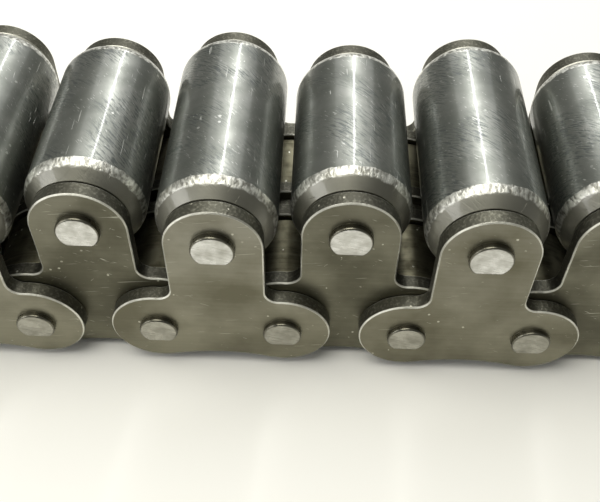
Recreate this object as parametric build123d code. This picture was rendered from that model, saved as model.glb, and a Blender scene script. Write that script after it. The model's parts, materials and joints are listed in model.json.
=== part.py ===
from build123d import *
import os

# Duplex top-roller chain: seven links of a two-strand conveyor chain.
# Inner and outer links alternate, and every link carries one wide roller above its plates.
# X runs along the chain, Y across it and Z up. The chain lies straight on the lower edges
# of its inner plates, and the origin is at the bottom centre.

# Driving dimensions, mm
pitch = 50.8
link_count = 7
plate_thickness = 6.5
plate_edge = 0.5  # bevel worn along a plate's outline
strand_width = 31.0  # clear width between the two inner plates of a strand
inner_end_radius = 23.4  # rounding of an inner plate about its bushes
outer_end_radius = 19.4  # rounding of an outer plate about its pins
inner_waist = 4.0  # how far an edge dips between the two rounded ends
outer_waist = 3.4
lobe_radius = 18.6  # the rise round the top roller's pin
top_pin_height = 51.0  # top pin above the line of the chain pins
throat_radius = 5.5  # rounding where the rise meets the shoulders
chain_pin_diameter = 15.6
top_pin_diameter = 16.6
pin_flat = 0.80  # depth of the flat below the pin's axis, as a share of its radius
pin_flat_rounding = 2.4
chain_pin_stand_out = 2.4  # how far a pin's end stands proud of its plate
top_pin_stand_out = 2.8
pin_edge = 1.0  # rounding of a pin's end
bush_wall = 3.2
base_roller_diameter = 43.0
base_roller_edge = 1.2
top_roller_diameter = 46.6
top_roller_edge = 4.6

# Clearances, mm
plate_gap = 0.4  # between neighbouring plates
pin_clearance = 0.08  # radial, chain pin in its bush
base_roller_clearance = 0.09  # radial, roller on its bush
top_roller_clearance = 0.09  # radial, roller on its pin
roller_side_gap = 0.5  # at each end of every roller

# Planes across the chain, measured out from its middle: (inner face, outer face)
centre_plate = (-plate_thickness / 2, plate_thickness / 2)
mid_plate = (centre_plate[1] + plate_gap, centre_plate[1] + plate_gap + plate_thickness)
strand = (mid_plate[1], mid_plate[1] + strand_width)
inner_plate = (strand[1], strand[1] + plate_thickness)
outer_plate = (inner_plate[1] + plate_gap, inner_plate[1] + plate_gap + plate_thickness)

chain_pin_radius = chain_pin_diameter / 2
top_pin_radius = top_pin_diameter / 2
bush_bore_radius = chain_pin_radius + pin_clearance
bush_radius = bush_bore_radius + bush_wall
pin_line = max(inner_end_radius, outer_end_radius, base_roller_diameter / 2)


def across(sketch, low, high, x=0.0, z=0.0):
    """A solid with this outline in the X-Z plane, from Y = low to Y = high."""
    back = Plane(origin=(x, high, z), x_dir=(1, 0, 0), z_dir=(0, -1, 0))
    return extrude(back * sketch, amount=high - low)


def waist_arc(end_radius, waist):
    """Radius of the hollow arc that meets both rounded ends, and where it leaves them."""
    half = pitch / 2
    narrow = end_radius - waist
    radius = (half**2 + narrow**2 - end_radius**2) / (2 * waist)
    share = end_radius / (end_radius + radius)
    return radius, half * (1 - share), (narrow + radius) * share


def waisted_outline(end_radius, waist, hollow_sides=(-1, 1)):
    """Two rounded ends, one pitch apart, and the half webs with hollow edges between them."""
    radius, x, z = waist_arc(end_radius, waist)
    outline = Sketch()
    for side in hollow_sides:
        web = Pos(0, side * z / 2) * Rectangle(2 * x, z)
        web -= Pos(0, side * (end_radius - waist + radius)) * Circle(radius)
        outline += web
    for side in (-1, 1):
        outline += Pos(side * pitch / 2, 0) * Circle(end_radius)
    return outline


def raised_outline(end_radius, waist):
    """A waisted plate whose upper edge rises into a round-topped lobe for the top roller."""
    outline = waisted_outline(end_radius, waist, hollow_sides=(-1,))
    outline += Pos(0, top_pin_height / 2) * Rectangle(2 * lobe_radius, top_pin_height)
    outline += Pos(0, top_pin_height) * Circle(lobe_radius)
    shoulder = pitch / 2 - lobe_radius
    height = (end_radius**2 - shoulder**2) ** 0.5
    throats = [
        corner
        for corner in outline.vertices()
        if abs(abs(corner.X) - lobe_radius) < 0.01 and abs(corner.Y - height) < 0.01
    ]
    return fillet(throats, throat_radius)


def flatted(radius):
    """A pin end's section: round, with one flat facing down that keeps the pin from turning."""
    depth = pin_flat * radius
    section = Circle(radius)
    section -= Pos(0, -depth - radius) * Rectangle(4 * radius, 2 * radius)
    corners = [corner for corner in section.vertices() if abs(corner.Y + depth) < 0.01]
    return fillet(corners, pin_flat_rounding)


def pin(radius, shoulder, end, x, z):
    """A round pin between Y = -shoulder and shoulder, with a flatted length at each end."""
    body = across(Circle(radius), -shoulder, shoulder, x, z)
    for low, high in ((-end, -shoulder), (shoulder, end)):
        tip = across(flatted(radius), low, high, x, z)
        face = tip.faces().sort_by(Axis.Y)[0 if low < 0 else -1]
        body += fillet(face.edges(), pin_edge)
    return body


def plate(outline, low, high, x):
    """A plate of this outline, with both rims of its outer edge bevelled."""
    solid = across(outline, low, high, x, pin_line)
    sides = solid.faces().sort_by(Axis.Y)
    rims = sides[0].outer_wire().edges() + sides[-1].outer_wire().edges()
    return chamfer(rims, plate_edge)


def ring(outer, inner, low, high, x, z):
    return across(Circle(outer) - Circle(inner), low, high, x, z)


def roller(outer, inner, low, high, edge, x, z):
    """A hollow roller with its two outer corners rounded."""
    section = Pos((outer + inner) / 2, (low + high) / 2) * Rectangle(outer - inner, high - low)
    corners = [corner for corner in section.vertices() if corner.X > (outer + inner) / 2]
    section = fillet(corners, edge)
    return Pos(x, 0, z) * revolve(section, Axis.Y)


def raised_plate(end_radius, waist, hole, low, high, x):
    """A plate with two chain holes and one flatted hole for the top roller's pin."""
    outline = raised_outline(end_radius, waist)
    for side in (-1, 1):
        outline -= Pos(side * pitch / 2, 0) * hole
    outline -= Pos(0, top_pin_height) * flatted(top_pin_radius)
    return plate(outline, low, high, x)


def plain_plate(end_radius, waist, hole_radius, low, high, x):
    outline = waisted_outline(end_radius, waist)
    for side in (-1, 1):
        outline -= Pos(side * pitch / 2, 0) * Circle(hole_radius)
    return plate(outline, low, high, x)


def top_roller(plate, x):
    half = plate[0] - roller_side_gap
    bore_radius = top_pin_radius + top_roller_clearance
    height = pin_line + top_pin_height
    return roller(top_roller_diameter / 2, bore_radius, -half, half, top_roller_edge, x, height)


def top_pin(plate, x):
    end = plate[1] + top_pin_stand_out
    return pin(top_pin_radius, plate[0], end, x, pin_line + top_pin_height)


def inner_link(x):
    """Two strands of bushes and base rollers between four plates; the outer two are raised."""
    pieces = {}
    hole = Circle(bush_radius)
    for name, sign in (("front", -1), ("back", 1)):
        low, high = sorted((sign * inner_plate[0], sign * inner_plate[1]))
        pieces[f"{name}_plate"] = [
            raised_plate(inner_end_radius, inner_waist, hole, low, high, x)
        ]
    pieces["mid_plates"] = []
    pieces["bushes"] = []
    for sign in (-1, 1):
        low, high = sorted((sign * mid_plate[0], sign * mid_plate[1]))
        pieces["mid_plates"].append(
            plain_plate(inner_end_radius, inner_waist, bush_radius, low, high, x)
        )
        low, high = sorted((sign * mid_plate[0], sign * inner_plate[1]))
        for end in (-1, 1):
            at = x + end * pitch / 2
            bush = ring(bush_radius, bush_bore_radius, low, high, at, pin_line)
            pieces["bushes"].append(bush)
    pieces["top_pin"] = [top_pin(inner_plate, x)]
    pieces["top_roller"] = [top_roller(inner_plate, x)]
    for row, sign in (("front", -1), ("back", 1)):
        low, high = sorted((sign * strand[0], sign * strand[1]))
        for column, end in (("left", -1), ("right", 1)):
            pieces[f"{row}_{column}_base_roller"] = [
                roller(
                    base_roller_diameter / 2,
                    bush_radius + base_roller_clearance,
                    low + roller_side_gap,
                    high - roller_side_gap,
                    base_roller_edge,
                    x + end * pitch / 2,
                    pin_line,
                )
            ]
    return pieces


def outer_link(x):
    """Two raised plates outside the inner links, a plain plate between strands, two pins."""
    pieces = {}
    hole = flatted(chain_pin_radius)
    for name, sign in (("front", -1), ("back", 1)):
        low, high = sorted((sign * outer_plate[0], sign * outer_plate[1]))
        pieces[f"{name}_plate"] = [
            raised_plate(outer_end_radius, outer_waist, hole, low, high, x)
        ]
    pieces["centre_plate"] = [
        plain_plate(outer_end_radius, outer_waist, chain_pin_radius, *centre_plate, x)
    ]
    end = outer_plate[1] + chain_pin_stand_out
    pieces["chain_pins"] = [
        pin(chain_pin_radius, outer_plate[0], end, x + side * pitch / 2, pin_line)
        for side in (-1, 1)
    ]
    pieces["top_pin"] = [top_pin(outer_plate, x)]
    pieces["top_roller"] = [top_roller(outer_plate, x)]
    return pieces


os.makedirs("parts", exist_ok=True)
for index in range(link_count):
    centre = (index - (link_count - 1) / 2) * pitch
    is_inner = index % 2 == 0
    kind = "inner" if is_inner else "outer"
    link = inner_link(centre) if is_inner else outer_link(centre)
    for piece, solids in link.items():
        name = f"{kind}_link_{index // 2 + 1}_{piece}"
        whole = solids[0] if len(solids) == 1 else Compound(children=solids)
        export_step(whole, f"parts/{name}.step")
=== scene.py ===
import json
import math
import bmesh
import bpy
from mathutils import Matrix, Vector


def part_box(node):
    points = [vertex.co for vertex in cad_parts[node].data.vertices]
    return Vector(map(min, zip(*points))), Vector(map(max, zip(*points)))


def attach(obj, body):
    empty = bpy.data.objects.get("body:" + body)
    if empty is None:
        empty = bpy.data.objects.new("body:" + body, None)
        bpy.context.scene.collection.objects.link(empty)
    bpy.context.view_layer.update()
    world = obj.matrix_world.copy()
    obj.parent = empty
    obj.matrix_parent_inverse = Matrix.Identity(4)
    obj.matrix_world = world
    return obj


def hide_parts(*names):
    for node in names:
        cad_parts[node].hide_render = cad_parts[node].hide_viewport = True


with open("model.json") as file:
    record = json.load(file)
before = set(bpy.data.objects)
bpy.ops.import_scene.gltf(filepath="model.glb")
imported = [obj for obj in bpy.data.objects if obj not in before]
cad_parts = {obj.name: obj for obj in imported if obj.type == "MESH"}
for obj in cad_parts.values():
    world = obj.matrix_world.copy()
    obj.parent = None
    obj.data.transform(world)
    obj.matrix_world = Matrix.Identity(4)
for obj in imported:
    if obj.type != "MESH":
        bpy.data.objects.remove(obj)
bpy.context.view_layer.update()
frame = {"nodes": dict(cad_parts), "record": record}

# ---- Link plates ----
# Blanked from rolled steel plate: flat satin faces with a faint rolling grain, scratches
# and flecks of dried grease, and rougher cut edges whose rims carry a painted highlight.

MM = 0.001
PLATE_FOOT = 12 * MM  # below this height the plates get no painted sheen and are at their darkest
PLATE_HEAD = 96 * MM  # above this they get the brightest painted sheen


def linear(code):
    """An sRGB hex colour as linear RGBA."""
    channels = [int(code[i : i + 2], 16) / 255 for i in (1, 3, 5)]
    return [c / 12.92 if c <= 0.04045 else ((c + 0.055) / 1.055) ** 2.4 for c in channels] + [1]


def add(tree, kind, settings, links):
    """A node with its settings, by property name or input, and a socket or value for each link."""
    node = tree.nodes.new(kind)
    for name, value in settings.items():
        if isinstance(name, str) and hasattr(node, name):
            setattr(node, name, value)
        else:
            node.inputs[name].default_value = value
    for name, source in links.items():
        if isinstance(source, bpy.types.NodeSocket):
            tree.links.new(source, node.inputs[name])
        elif isinstance(source, str):
            node.inputs[name].default_value = linear(source)
        else:
            node.inputs[name].default_value = source
    return node


def start_metal(name):
    """A bare metal: its material, node tree, Principled shader and own coordinates."""
    material = bpy.data.materials.new(name)
    material.use_nodes = True
    tree = material.node_tree
    tree.nodes.clear()
    shader = add(tree, "ShaderNodeBsdfPrincipled", {"Metallic": 1.0}, {})
    add(tree, "ShaderNodeOutputMaterial", {}, {"Surface": shader.outputs[0]})
    return material, tree, shader, add(tree, "ShaderNodeTexCoord", {}, {})


def maths(tree, operation, *values):
    node = add(tree, "ShaderNodeMath", {"operation": operation}, dict(enumerate(values)))
    return node.outputs[0]


def spread(tree, value, low, high, start=0.0, end=1.0):
    """value, taken from the range low..high to start..end and held there."""
    links = {0: value, 1: low, 2: high, 3: start, 4: end}
    return add(tree, "ShaderNodeMapRange", {"clamp": True}, links).outputs[0]


def blend(tree, share, a, b):
    """Two colours, each a socket or a hex code, mixed by share."""
    return add(tree, "ShaderNodeMix", {"data_type": "RGBA"}, {0: share, 6: a, 7: b}).outputs[2]


def lumps(tree, place, size_mm, detail=3.0, stretch=(1, 1, 1), turn=0.0, slant=0.0):
    """Noise with lumps of this size, drawn out by stretch, turned about Y and slanted about Z."""
    settings = {
        "vector_type": "TEXTURE",
        "Rotation": (0, math.radians(turn), math.radians(slant)),
        "Scale": [size_mm * MM * along for along in stretch],
    }
    scaled = add(tree, "ShaderNodeMapping", settings, {"Vector": place}).outputs[0]
    return add(tree, "ShaderNodeTexNoise", {"Detail": detail, "Scale": 1.0}, {"Vector": scaled}).outputs[0]


def flecks(tree, place, spacing_mm, size_mm, patch_mm, bare=0.56):
    """Small ragged spots in loose clusters: 1 in a spot and 0 outside."""
    settings = {"Scale": 1 / (spacing_mm * MM)}
    away = add(tree, "ShaderNodeTexVoronoi", settings, {"Vector": place}).outputs[0]
    ragged = spread(tree, lumps(tree, place, size_mm / 2), 0.3, 0.7, 0.1, size_mm / spacing_mm)
    patch = spread(tree, lumps(tree, place, patch_mm), bare, bare + 0.06)
    return maths(tree, "MULTIPLY", maths(tree, "LESS_THAN", away, ragged), patch)


def squarely(tree, coords, axis):
    """How squarely the surface faces along one axis of the chain, from 0 to 1."""
    split = add(tree, "ShaderNodeSeparateXYZ", {}, {0: coords.outputs["Normal"]})
    return maths(tree, "ABSOLUTE", split.outputs[axis])


def relief(tree, shader, height, depth_mm, rim_mm):
    """Bumps of this depth, on edges rounded by rim_mm."""
    rounded = add(tree, "ShaderNodeBevel", {"samples": 4}, {"Radius": rim_mm * MM}).outputs[0]
    links = {"Height": height, "Normal": rounded}
    bump = add(tree, "ShaderNodeBump", {"Strength": 1.0, "Distance": depth_mm * MM}, links)
    tree.links.new(bump.outputs[0], shader.inputs["Normal"])


def rims(tree, radius_mm):
    """1 along a piece's sharp edges, fading to 0 within this distance of them."""
    rounded = add(tree, "ShaderNodeBevel", {"samples": 4}, {"Radius": radius_mm * MM}).outputs[0]
    true = add(tree, "ShaderNodeNewGeometry", {}, {}).outputs["True Normal"]
    dot = add(tree, "ShaderNodeVectorMath", {"operation": "DOT_PRODUCT"}, {0: rounded, 1: true})
    return spread(tree, dot.outputs["Value"], 0.995, 0.90)


def plate_steel(name, face, painted_sheen, deep, cut, cut_light):
    """Rolled plate: olive and satin, painted lighter towards the lobe as a painted sheen, with bright rims
    painted as an edge highlight.
    """
    material, tree, shader, coords = start_metal(name)
    place = coords.outputs["Object"]
    facing = squarely(tree, coords, "Y")
    flat = spread(tree, facing, 0.80, 0.97)
    bevel = maths(tree, "MULTIPLY", spread(tree, facing, 0.35, 0.55), spread(tree, facing, 0.80, 0.93, 1, 0))
    stain = spread(tree, lumps(tree, place, 30, 5.0), 0.38, 0.66)
    height_up = add(tree, "ShaderNodeSeparateXYZ", {}, {0: place}).outputs[2]
    # Painted sheen: the face colour runs lighter from the foot up to the lobe, by height alone.
    lit = spread(tree, height_up, PLATE_FOOT, PLATE_HEAD)
    face = blend(tree, lit, face, painted_sheen)
    grain = lumps(tree, place, 9, 4.0, (3.0, 1, 0.16))
    tone = spread(tree, maths(tree, "MULTIPLY_ADD", grain, 0.5, stain), 0.2, 1.2)
    long_marks = spread(tree, lumps(tree, place, 1.0, 1.0, (15, 5, 0.45), -7), 0.745, 0.775)
    short_marks = spread(tree, lumps(tree, place, 1.0, 1.5, (6, 5, 0.45), 24), 0.735, 0.77)
    cross_marks = spread(tree, lumps(tree, place, 1.0, 1.5, (4, 5, 0.4), -48), 0.765, 0.79)
    marks = maths(tree, "MAXIMUM", maths(tree, "MAXIMUM", long_marks, short_marks), cross_marks)
    pits = lumps(tree, place, 1.1, 3.0)
    grease = flecks(tree, place, 4.0, 0.6, 10, 0.565)
    face_colour = blend(tree, marks, blend(tree, tone, face, deep), "#b9b8ab")
    cut_colour = blend(tree, spread(tree, pits, 0.50, 0.72), cut, cut_light)
    colour = blend(tree, flat, cut_colour, face_colour)
    # Bright rims along every sharp edge: a painted highlight.
    colour = blend(tree, maths(tree, "MULTIPLY", rims(tree, 0.5), 0.6), colour, "#d6d5ca")
    # A brighter painted highlight on the bevelled edge band, broken up by noise.
    rim_highlight = maths(tree, "MULTIPLY", bevel, spread(tree, lumps(tree, place, 12), 0.35, 0.6, 0.4, 1.0))
    colour = blend(tree, rim_highlight, colour, "#eeede2")
    tree.links.new(blend(tree, grease, colour, "#c4c2b3"), shader.inputs["Base Color"])
    face_rough = spread(tree, tone, 0, 1, 0.36, 0.46)
    rough = add(tree, "ShaderNodeMix", {}, {0: flat, 2: 0.52, 3: face_rough}).outputs[0]
    tree.links.new(rough, shader.inputs["Roughness"])
    depth = add(tree, "ShaderNodeMix", {}, {0: flat, 2: pits, 3: maths(tree, "MULTIPLY", grain, 0.14)})
    height = maths(tree, "MULTIPLY_ADD", marks, -0.12, depth.outputs[0])
    height = maths(tree, "MULTIPLY_ADD", grease, 0.8, height)
    relief(tree, shader, height, 0.22, 0.35)
    return material


def give(material, *endings):
    """Assigns a material to every CAD node whose name ends in one of these."""
    for name, node in frame["nodes"].items():
        if name.endswith(endings):
            node.data.materials.clear()
            node.data.materials.append(material)


# The inner plates take darker colours than the outer ones: painted shade, as they sit set back behind the
# outer plates.
shaded_inner_steel = plate_steel("rolled_plate_steel_inner_painted_shade", "#7d7b69", "#7a786b", "#5d5b4d", "#54534a", "#77766b")
outer_steel = plate_steel("rolled_plate_steel_outer", "#8a8775", "#8d8b80", "#6c6958", "#5d5c52", "#828174")
for name, node in frame["nodes"].items():
    if "plate" in name:
        node.data.materials.clear()
        node.data.materials.append(shaded_inner_steel if name.startswith("inner") else outer_steel)

# ---- Bushes ----
# Case-hardened steel tubes pressed into the inner plates, ground inside and out, and
# seen only as a dull grey ring at the two open ends of the run.


def ground_steel(name, light, dark, roughness, ring_mm):
    """Steel turned or ground about a Y axis: fine rings round it and a soft mottle."""
    material, tree, shader, coords = start_metal(name)
    place = coords.outputs["Object"]
    rings = lumps(tree, place, ring_mm, 2.0, (60, 1, 60))
    mottle = spread(tree, lumps(tree, place, 7, 4.0), 0.35, 0.65)
    tone = maths(tree, "MULTIPLY", rings, mottle)
    colour = blend(tree, spread(tree, tone, 0.1, 0.5), light, dark)
    grease = flecks(tree, place, 4.0, 0.6, 12)
    tree.links.new(blend(tree, grease, colour, "#efefe2"), shader.inputs["Base Color"])
    rough = spread(tree, tone, 0.0, 0.6, roughness - 0.06, roughness + 0.06)
    tree.links.new(rough, shader.inputs["Roughness"])
    relief(tree, shader, rings, 0.05, 0.2)
    return material


give(ground_steel("ground_bush_steel", "#8c8c86", "#5d5c54", 0.32, 0.5), "bushes")

# ---- Base rollers ----
# Turned olive steel rings that run on the bushes, their colours darkened as painted shade
# for the gaps between the plates where they are seen, so they look dull beside the top rollers.

give(ground_steel("olive_roller_steel_painted_shade", "#74715e", "#514e3f", 0.52, 0.9), "base_roller")

# ---- Chain pins and top-roller pins ----
# Hardened steel pins, flatted and faced off at their ends, which stand proud of the
# plates: the faced ends are the brightest metal on the chain.


def pin_steel(name, bright, dull, marked):
    """A pin whose faced end is bright and faintly marked, and whose side is painted dark as shade round the
    proud end.
    """
    material, tree, shader, coords = start_metal(name)
    place = coords.outputs["Object"]
    end = spread(tree, squarely(tree, coords, "Y"), 0.85, 0.99)
    cloud = spread(tree, lumps(tree, place, 5, 4.0), 0.35, 0.68)
    facing_marks = spread(tree, lumps(tree, place, 1.0, 2.0, (6, 2, 0.35), 14), 0.5, 0.8)
    faced = blend(tree, cloud, bright, dull)
    faced = blend(tree, maths(tree, "MULTIPLY", facing_marks, 0.55), faced, marked)
    # The side of the pin is painted dark: painted shade round the proud end.
    tree.links.new(blend(tree, end, "#6b695e", faced), shader.inputs["Base Color"])
    rough = spread(tree, maths(tree, "ADD", cloud, facing_marks), 0, 1.6, 0.24, 0.40)
    tree.links.new(rough, shader.inputs["Roughness"])
    relief(tree, shader, facing_marks, 0.03, 0.3)
    return material


give(pin_steel("faced_chain_pin_steel", "#aeaca1", "#8f8d82", "#6b695e"), "chain_pins")
give(pin_steel("polished_top_pin_steel", "#dcdcd8", "#b3b2ab", "#8f8d82"), "top_pin")

# ---- Top rollers ----
# Turned steel rollers with coned ends: a satin grey barrel with rings left by the
# lathe and slanting scuffs, a shoulder rubbed bright by the load, and an oiled cone. The
# thin film of oil over all of it is the coat, which keeps one line of light crisp.

END_DROP = 4.7 * MM  # from the barrel down to the rim of the end face
SHOULDER_RADIUS = 8.0 * MM
CONE_ANGLE = math.radians(40)
BORE_PLAY = 0.09 * MM
AROUND = 128  # points round the roller
SHOULDER_STEPS = 12
CONE_STEPS = 3
BARREL_STEPS = 8
SHARP_ANGLE = math.radians(35)  # a corner over this stays crisp


def roller_outline(low, high, radius, bore):
    """Points (along Y, radius) from the bore out over one cone, the barrel and the other cone."""
    turned_off = SHOULDER_RADIUS * (1 - math.cos(CONE_ANGLE))
    cone_drop = END_DROP - turned_off
    cone_length = cone_drop / math.tan(CONE_ANGLE)
    end_length = cone_length + SHOULDER_RADIUS * math.sin(CONE_ANGLE)
    end = []
    for step in range(CONE_STEPS):
        share = step / CONE_STEPS
        end.append((cone_length * share, radius - END_DROP + cone_drop * share))
    for step in range(SHOULDER_STEPS + 1):
        angle = CONE_ANGLE * (1 - step / SHOULDER_STEPS)
        drop = SHOULDER_RADIUS * (1 - math.cos(angle))
        end.append((end_length - SHOULDER_RADIUS * math.sin(angle), radius - drop))
    near = [(low + along, r) for along, r in end]
    far = [(high - along, r) for along, r in reversed(end)]
    barrel = high - low - 2 * end_length
    middle = []
    for step in range(1, BARREL_STEPS):
        middle.append((low + end_length + barrel * step / BARREL_STEPS, radius))
    return [(low, bore)] + near + middle + far + [(high, bore)]


def body_with(name):
    """The body that a CAD node belongs to."""
    bodies = frame["record"]["behaviour"]["bodies"]
    return next(body for body, nodes in bodies.items() if name in nodes)


def turned_roller(name, material):
    """A top roller turned about the axis of its pin, inside the box of its plain one."""
    link = name.removesuffix("_top_roller")
    low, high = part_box(name)
    pin_low, pin_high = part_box(link + "_top_pin")
    middle_x, middle_z = (low.x + high.x) / 2, (low.z + high.z) / 2
    bore = (pin_high.x - pin_low.x) / 2 + BORE_PLAY
    outline = roller_outline(low.y, high.y, (high.x - low.x) / 2, bore)
    points, faces = [], []
    for along, radius in outline:
        for step in range(AROUND):
            angle = math.tau * step / AROUND
            points.append((middle_x + radius * math.cos(angle), along, middle_z + radius * math.sin(angle)))
    rings = len(outline)
    for ring in range(rings):
        here, after = ring * AROUND, (ring + 1) % rings * AROUND
        for step in range(AROUND):
            side = (step + 1) % AROUND
            faces.append((here + step, here + side, after + side, after + step))
    mesh = bpy.data.meshes.new(link + "_turned_roller")
    mesh.from_pydata(points, [], faces)
    solid = bmesh.new()
    solid.from_mesh(mesh)
    bmesh.ops.recalc_face_normals(solid, faces=solid.faces)
    for edge in solid.edges:
        edge.smooth = edge.calc_face_angle(0) < SHARP_ANGLE
    for face in solid.faces:
        face.smooth = True
    solid.to_mesh(mesh)
    solid.free()
    mesh.materials.append(material)
    roller = bpy.data.objects.new(link + "_turned_roller", mesh)
    bpy.context.scene.collection.objects.link(roller)
    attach(roller, body_with(name))
    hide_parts(name)


def roller_steel():
    """Turned steel: satin barrel, ragged bright shoulder and even olive cone, by its slope."""
    material, tree, shader, coords = start_metal("turned_roller_steel")
    place = coords.outputs["Object"]
    end = squarely(tree, coords, "Y")
    ragged = spread(tree, lumps(tree, place, 3.0, 4.0), 0.3, 0.7, -0.05, 0.05)
    edge = maths(tree, "ADD", end, ragged)
    on_cone = spread(tree, edge, 0.50, 0.57)
    on_shoulder = spread(tree, edge, 0.055, 0.09)
    shader.inputs["Coat Weight"].default_value = 0.55
    shader.inputs["Coat Roughness"].default_value = 0.09
    rings = lumps(tree, place, 0.7, 3.0, (70, 1, 70))
    bands = lumps(tree, place, 9, 3.0, (9, 1, 9))
    cloud = spread(tree, lumps(tree, place, 16, 5.0), 0.36, 0.66)
    scuffs = spread(tree, lumps(tree, place, 1.0, 3.0, (0.6, 5, 2), 0, 48), 0.48, 0.62)
    scuffed = maths(tree, "MULTIPLY", scuffs, spread(tree, lumps(tree, place, 24, 1.0), 0.44, 0.56))
    light_scuffs = spread(tree, lumps(tree, place, 1.0, 2.0, (0.5, 4, 2), 0, 40), 0.66, 0.74)
    nicks = flecks(tree, place, 5.5, 0.7, 20, 0.51)
    thin = spread(tree, lumps(tree, place, 1.0, 1.0, (11, 14, 0.5), -38), 0.745, 0.775)
    rubbed = spread(tree, lumps(tree, place, 1.4, 4.0, (1, 2, 1)), 0.36, 0.60)
    tone = spread(tree, maths(tree, "MULTIPLY_ADD", bands, 0.7, cloud), 0.3, 1.3)
    barrel = blend(tree, tone, "#94968f", "#757871")
    barrel = blend(tree, maths(tree, "MULTIPLY", scuffed, 0.85), barrel, "#5c615f")
    bright_marks = maths(tree, "MAXIMUM", maths(tree, "MAXIMUM", thin, nicks), light_scuffs)
    barrel = blend(tree, maths(tree, "MULTIPLY", bright_marks, 0.7), barrel, "#d6d7d0")
    colour = blend(tree, on_shoulder, barrel, blend(tree, rubbed, "#8c8b82", "#e4e4dc"))
    colour = blend(tree, on_cone, colour, blend(tree, cloud, "#85847a", "#737268"))
    tree.links.new(colour, shader.inputs["Base Color"])
    barrel_rough = spread(tree, maths(tree, "MULTIPLY_ADD", scuffed, 0.6, tone), 0, 1.5, 0.34, 0.46)
    rough = add(tree, "ShaderNodeMix", {}, {0: on_shoulder, 2: barrel_rough, 3: 0.46}).outputs[0]
    rough = add(tree, "ShaderNodeMix", {}, {0: on_cone, 2: rough, 3: 0.5}).outputs[0]
    tree.links.new(rough, shader.inputs["Roughness"])
    shoulder = maths(tree, "SUBTRACT", on_shoulder, on_cone)
    height = maths(tree, "MULTIPLY_ADD", rings, 0.15, maths(tree, "MULTIPLY", scuffed, -0.4))
    height = maths(tree, "MULTIPLY_ADD", thin, -0.8, height)
    height = maths(tree, "MULTIPLY_ADD", maths(tree, "MULTIPLY", rubbed, shoulder), 1.0, height)
    bump = add(tree, "ShaderNodeBump", {"Strength": 1.0, "Distance": 0.1 * MM}, {"Height": height})
    tree.links.new(bump.outputs[0], shader.inputs["Normal"])
    return material


worn_steel = roller_steel()
for name in sorted(frame["nodes"]):
    if name.endswith("top_roller"):
        turned_roller(name, worn_steel)

# ---- Floor ----
# A plain pale sweep that the run lies on.

FLOOR_SIZE = 6.0  # metres
bpy.ops.mesh.primitive_plane_add(size=FLOOR_SIZE, location=(0, 0, 0))
floor = bpy.context.object
floor.name = "floor"
paint = bpy.data.materials.new("matt_white_floor")
paint.use_nodes = True
coat = paint.node_tree.nodes["Principled BSDF"].inputs
coat["Base Color"].default_value = linear("#f2f1ec")
coat["Roughness"].default_value = 0.9
floor.data.materials.append(paint)

# ---- Lights ----
# A narrow softbox behind the chain draws the line of light along every roller, a wide one
# behind it shades them softly, one overhead fills, and the room is a dim even grey.


def softbox(name, place, width, height, power, colour="#ffffff"):
    light = bpy.data.lights.new(name, "AREA")
    light.shape = "RECTANGLE"
    light.size, light.size_y = width, height
    light.energy = power
    light.color = linear(colour)[:3]
    lamp = bpy.data.objects.new(name, light)
    lamp.location = place
    lamp.rotation_euler = (-Vector(place)).to_track_quat("-Z", "Y").to_euler()
    bpy.context.scene.collection.objects.link(lamp)


softbox("strip_behind", (0.09, 0.80, 0.95), 0.045, 1.1, 3.6)
softbox("wide_behind", (0.09, 0.86, 1.02), 1.15, 1.1, 4.4)
softbox("overhead", (-0.25, -0.10, 1.3), 1.0, 0.9, 14, "#fffdf4")
softbox("left_fill", (-1.1, -0.5, 0.5), 0.6, 0.6, 5)

ROOM_LIGHT = 0.55
world = bpy.data.worlds.new("grey_room")
world.use_nodes = True
sky = world.node_tree.nodes["Background"].inputs
sky["Color"].default_value = linear("#a9aaa6")
sky["Strength"].default_value = ROOM_LIGHT
bpy.context.scene.world = world
bpy.context.scene.view_settings.view_transform = "Standard"

# ---- Camera ----
# In front of the run and above it, looking down on the rollers' tops and the near plates.

CAMERA_PLACE = (0.0360, -0.2532, 0.3031)
LOOK_DOWN, LOOK_LEFT, ROLL = 49.0, 1.15, 1.08  # degrees
FOCAL_LENGTH, SENSOR_WIDTH = 49.8, 36.0  # mm
lens = bpy.data.cameras.new("camera")
lens.lens = FOCAL_LENGTH
lens.sensor_width = SENSOR_WIDTH
camera = bpy.data.objects.new("camera", lens)
turn = Matrix.Rotation(math.radians(LOOK_LEFT), 4, "Z")
tilt = Matrix.Rotation(math.radians(90 - LOOK_DOWN), 4, "X")
roll = Matrix.Rotation(math.radians(ROLL), 4, "Z")
camera.matrix_world = Matrix.Translation(CAMERA_PLACE) @ turn @ tilt @ roll
bpy.context.scene.collection.objects.link(camera)
bpy.context.scene.camera = camera
